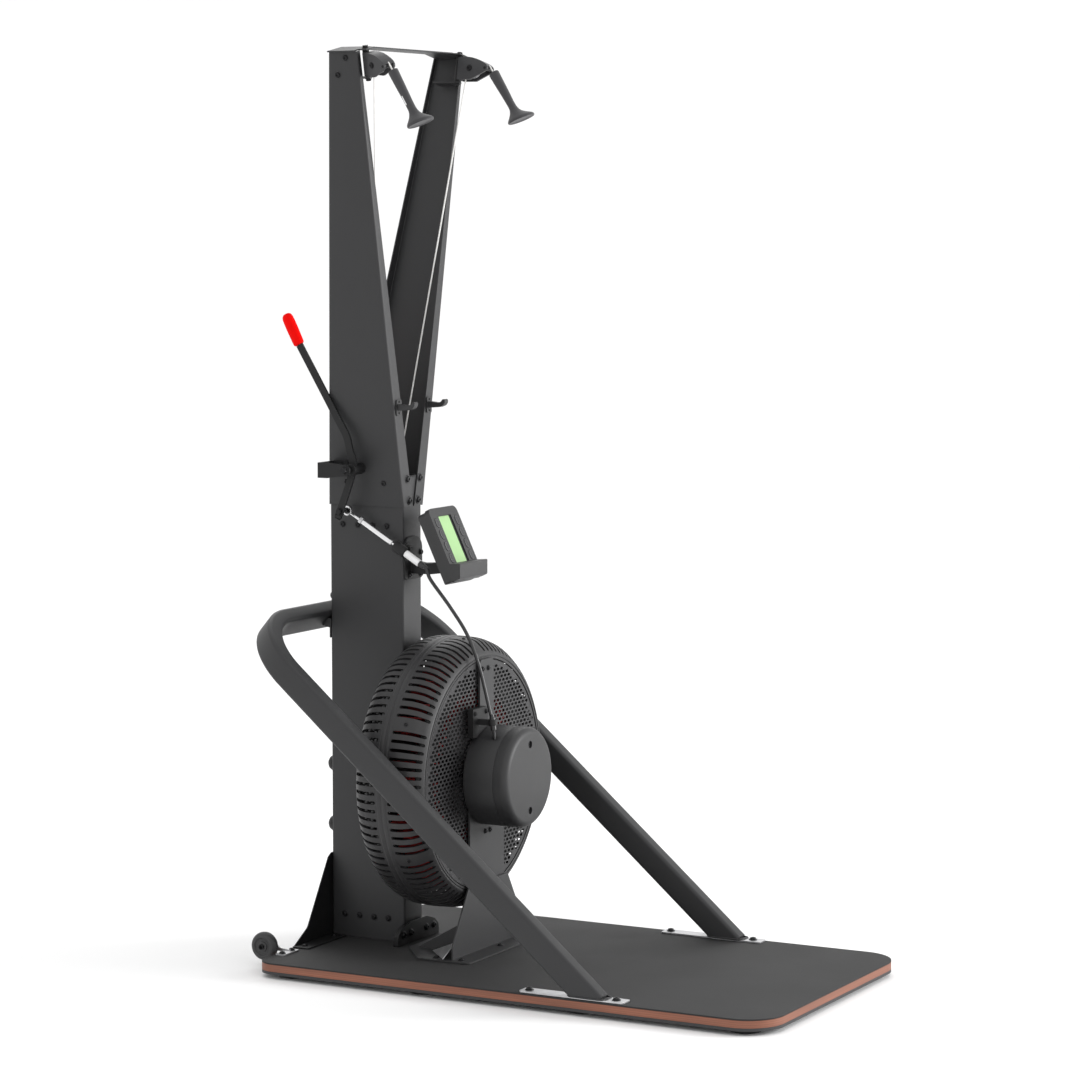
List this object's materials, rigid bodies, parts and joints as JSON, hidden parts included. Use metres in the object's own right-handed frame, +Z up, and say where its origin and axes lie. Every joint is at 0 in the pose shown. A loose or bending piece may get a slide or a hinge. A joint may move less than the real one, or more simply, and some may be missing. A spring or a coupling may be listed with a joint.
{
  "type": "ski ergometer",
  "caption": "Standing cord-pull fan trainer: tall column with splayed arms, swivelling pulley heads, handles, fan flywheel, brake lever, console and bent tube brace.",
  "frame": {"origin": "on the floor under the middle of the whole machine's bounding box", "axes": "+X points towards the person standing on the platform, +Z up, -Y is the side with the brake lever"},
  "size_m": [1.3774, 0.76, 2.124],
  "materials": {
    "deck_base": "matt laminate",
    "wood_core": "oiled ply edge",
    "deck_skin": "fine matt grain",
    "foot_rubber": "matt",
    "charcoal_coat": "fine-texture powder coat",
    "black_coat": "satin powder coat",
    "machined_steel": "turned",
    "handle_grip": "soft matt",
    "cord_white": "braided",
    "hook_rubber": "dipped",
    "zinc_plate": "bright zinc",
    "guard_plastic": "fine texture",
    "grille_sheet": "powder coat",
    "rotor_red": "satin",
    "hub_plastic": "fine texture",
    "red_grip": "smooth dipped",
    "rod_steel": "polished",
    "cable_jacket": "smooth jacket",
    "console_plastic": "fine texture",
    "screen_green": "smooth",
    "button_rubber": "matt",
    "wheel_rubber": "moulded"
  },
  "bodies": {
    "frame": {"platform_bottom": "deck_base", "platform_core": "wood_core", "platform_top": "deck_skin", "foot_near_1": "foot_rubber", "foot_near_2": "foot_rubber", "foot_near_3": "foot_rubber", "foot_near_4": "foot_rubber", "foot_far_1": "foot_rubber", "foot_far_2": "foot_rubber", "foot_far_3": "foot_rubber", "foot_far_4": "foot_rubber", "column": "charcoal_coat", "column_foot_rear": "charcoal_coat", "column_foot_front": "black_coat", "arm_near": "charcoal_coat", "arm_far": "charcoal_coat", "top_plate": "charcoal_coat", "shelf_near": "charcoal_coat", "shelf_far": "charcoal_coat", "drive_cord_near": "cord_white", "drive_cord_far": "cord_white", "hook_near": "hook_rubber", "hook_far": "hook_rubber", "brace": "charcoal_coat", "brace_foot_near": "zinc_plate", "brace_foot_far": "zinc_plate", "brace_mount": "charcoal_coat", "fan_guard": "guard_plastic", "fan_grille": "grille_sheet", "fan_upright": "charcoal_coat", "fan_strap": "charcoal_coat", "fan_pedestal": "charcoal_coat", "hub_housing": "hub_plastic", "hub_cap": "hub_plastic", "lever_bracket": "black_coat", "rod_sleeve": "black_coat", "brake_cable": "cable_jacket", "cable_stop": "black_coat", "console_bracket": "black_coat", "console_case": "console_plastic", "console_screen": "screen_green", "wheel_bracket_near": "zinc_plate", "wheel_bracket_far": "zinc_plate"},
    "flywheel": {"fan_rotor": "rotor_red", "drive_shaft": "machined_steel"},
    "head_near": {"pulley_head_near": "black_coat"},
    "sheave_near": {"pulley_sheave_near": "machined_steel"},
    "handle_near": {"handle_near": "handle_grip"},
    "head_far": {"pulley_head_far": "black_coat"},
    "sheave_far": {"pulley_sheave_far": "machined_steel"},
    "handle_far": {"handle_far": "handle_grip"},
    "lever": {"brake_lever": "black_coat", "lever_grip": "red_grip"},
    "rod": {"brake_rod": "rod_steel"},
    "button_1": {"console_button_1": "button_rubber"},
    "button_2": {"console_button_2": "button_rubber"},
    "button_3": {"console_button_3": "button_rubber"},
    "button_4": {"console_button_4": "button_rubber"},
    "wheel_near": {"transport_wheel_near": "wheel_rubber"},
    "wheel_far": {"transport_wheel_far": "wheel_rubber"}
  },
  "joints": [
    {"name": "flywheel_spin", "type": "hinge", "parent": "frame", "child": "flywheel", "pos_m": [-0.3113, 0, 0.448], "axis": [1, 0, 0], "continuous": true},
    {"name": "head_swivel_near", "type": "hinge", "parent": "frame", "child": "head_near", "pos_m": [-0.3913, -0.2096, 2.082], "axis": [0, -0.1881, 0.9822], "range_deg": [-14, 55]},
    {"name": "sheave_spin_near", "type": "hinge", "parent": "head_near", "child": "sheave_near", "pos_m": [-0.35505, -0.2262, 2.07882], "axis": [0.4226, 0.8901, 0.1705], "continuous": true},
    {"name": "handle_pull_near", "type": "slide", "parent": "head_near", "child": "handle_near", "axis": [0.5438, -0.0986, -0.8334], "range_m": [0, 1], "stiffness_N_per_m": 12, "springref_m": -1.2},
    {"name": "head_swivel_far", "type": "hinge", "parent": "frame", "child": "head_far", "pos_m": [-0.3913, 0.2096, 2.082], "axis": [0, 0.1881, 0.9822], "range_deg": [-40, 35]},
    {"name": "sheave_spin_far", "type": "hinge", "parent": "head_far", "child": "sheave_far", "pos_m": [-0.3514, 0.20686, 2.08252], "axis": [0.0698, 0.9798, -0.1876], "continuous": true},
    {"name": "handle_pull_far", "type": "slide", "parent": "head_far", "child": "handle_far", "axis": [0.5985, -0.1916, -0.7779], "range_m": [0, 1], "stiffness_N_per_m": 12, "springref_m": -1.2},
    {"name": "lever_tilt", "type": "hinge", "parent": "frame", "child": "lever", "pos_m": [-0.4998, -0.1, 1.1535], "axis": [0, 1, 0], "range_deg": [-6, 0]},
    {"name": "rod_slide", "type": "slide", "parent": "frame", "child": "rod", "axis": [0.8593, 0, -0.5114], "range_m": [-0.0005, 0.0125]},
    {"name": "button_press_1", "type": "slide", "parent": "frame", "child": "button_1", "axis": [-0.9043, 0, -0.4268], "range_m": [0, 0.0009], "stiffness_N_per_m": 600, "springref_m": -0.0015},
    {"name": "button_press_2", "type": "slide", "parent": "frame", "child": "button_2", "axis": [-0.9043, 0, -0.4268], "range_m": [0, 0.0009], "stiffness_N_per_m": 600, "springref_m": -0.0015},
    {"name": "button_press_3", "type": "slide", "parent": "frame", "child": "button_3", "axis": [-0.9043, 0, -0.4268], "range_m": [0, 0.0009], "stiffness_N_per_m": 600, "springref_m": -0.0015},
    {"name": "button_press_4", "type": "slide", "parent": "frame", "child": "button_4", "axis": [-0.9043, 0, -0.4268], "range_m": [0, 0.0009], "stiffness_N_per_m": 600, "springref_m": -0.0015},
    {"name": "wheel_spin_near", "type": "hinge", "parent": "frame", "child": "wheel_near", "pos_m": [-0.6373, -0.279, 0.05], "axis": [0, 1, 0], "continuous": true},
    {"name": "wheel_spin_far", "type": "hinge", "parent": "frame", "child": "wheel_far", "pos_m": [-0.6373, 0.279, 0.05], "axis": [0, 1, 0], "continuous": true}
  ],
  "couplings": [
    {"joint": "rod_slide", "follows": "lever_tilt", "m_per_rad": -0.1039}
  ]
}
